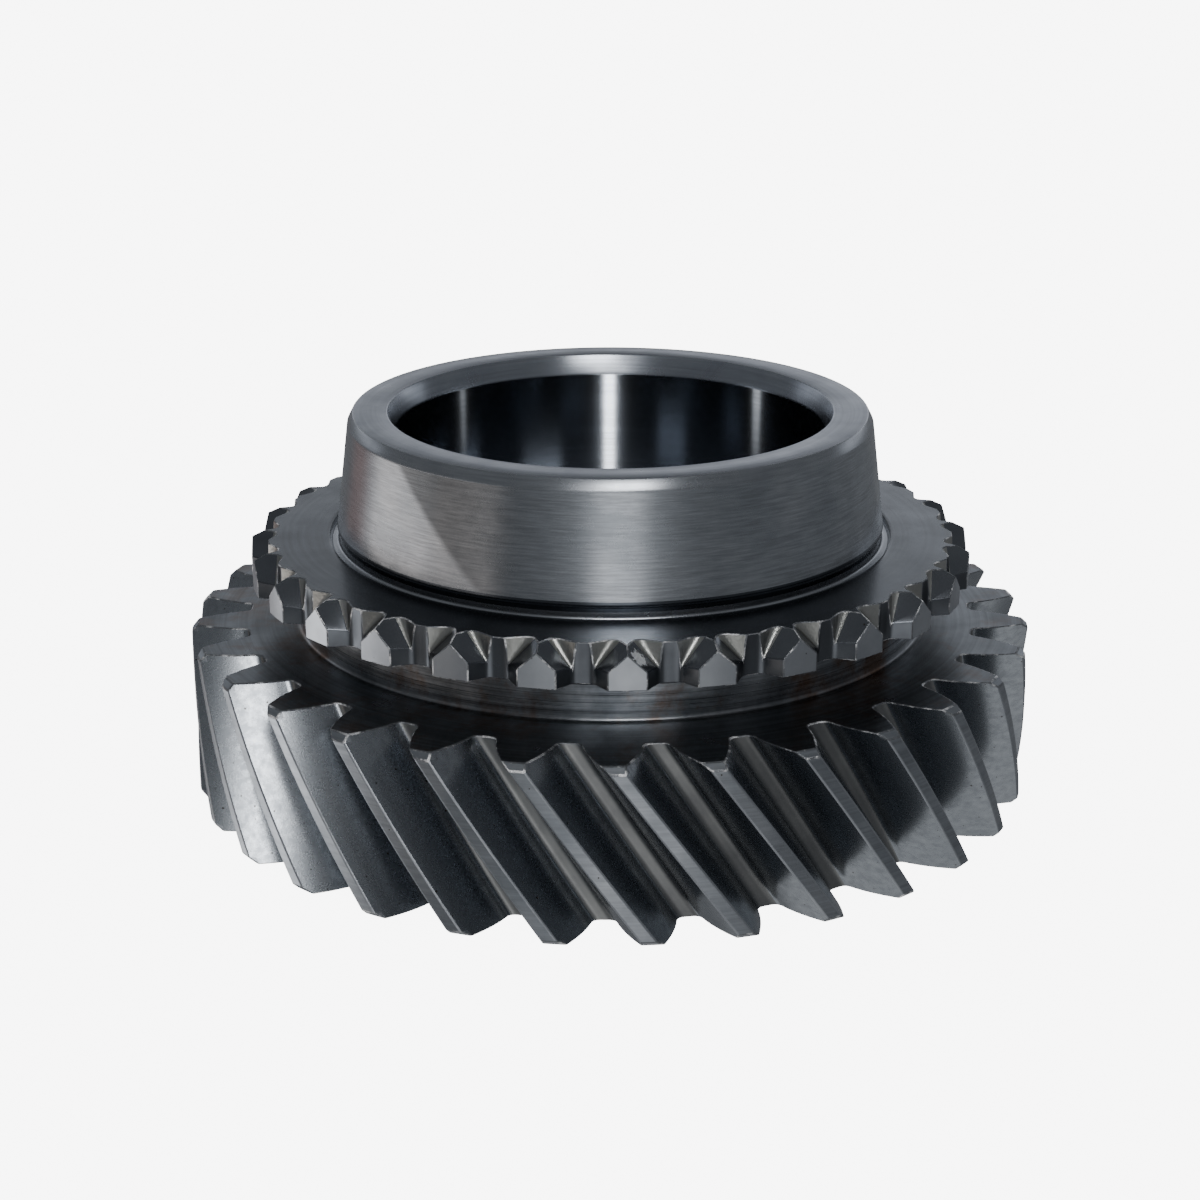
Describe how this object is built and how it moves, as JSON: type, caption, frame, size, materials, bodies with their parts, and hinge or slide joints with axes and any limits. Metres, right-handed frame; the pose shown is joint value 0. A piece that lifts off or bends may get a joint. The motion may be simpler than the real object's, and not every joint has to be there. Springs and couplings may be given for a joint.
{
  "type": "transmission gear",
  "caption": "Steel helical gear for a manual gearbox, with pointed dog teeth, a tapered synchroniser cone and a plain round bore, all in one piece.",
  "frame": {"origin": "on the bore axis, in the plane of the gear's bottom face", "axes": "+Z along the bore axis, from the gear teeth to the synchroniser cone; -Y is the side that the picture shows"},
  "size_m": [0.087, 0.087, 0.0395],
  "materials": {
    "gear_steel": "case-hardened steel, ground on the teeth, cone and bore, turned on the faces, with a light oil film, small rust pits and burred tooth edges"
  },
  "bodies": {
    "root": {"gear": "gear_steel"}
  },
  "joints": []
}
